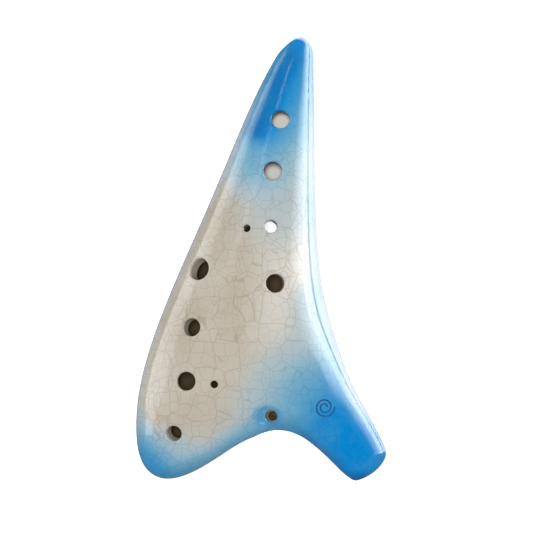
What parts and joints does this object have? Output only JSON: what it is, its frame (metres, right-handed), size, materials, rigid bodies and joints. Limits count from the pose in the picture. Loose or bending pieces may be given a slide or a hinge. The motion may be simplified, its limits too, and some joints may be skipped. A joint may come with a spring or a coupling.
{
  "type": "ocarina",
  "caption": "Transverse glazed clay ocarina with a tapering tail, a rounded lobe, an angled mouthpiece, finger and thumb holes and a lanyard hole.",
  "frame": {"origin": "on the surface that the ocarina lies on, under the middle of its bounding box", "axes": "+Z out of the finger-hole face, +Y toward the tail tip, mouthpiece toward +X and -Y"},
  "size_m": [0.096, 0.1706, 0.0426],
  "materials": {
    "glaze": "glossy crackled glaze, cream, airbrushed blue toward the tail tip, the lower edge and the mouthpiece",
    "bare_clay": "unglazed fired stoneware, fine grained",
    "tinted_clay": "fired stoneware tinted by the blue colour under the glaze",
    "joining_slip": "fired clay paste, slightly darker than the body"
  },
  "bodies": {
    "root": {"glaze_coat": "glaze", "front_shell": "bare_clay", "back_shell": "bare_clay", "vessel_seam_slip": "joining_slip", "mouthpiece_top": "tinted_clay", "mouthpiece_bottom": "tinted_clay", "mouthpiece_seam_slip": "joining_slip", "neck_slip": "joining_slip", "windway_roof": "bare_clay", "labium_blade": "bare_clay", "lanyard_tube": "bare_clay"}
  },
  "joints": []
}
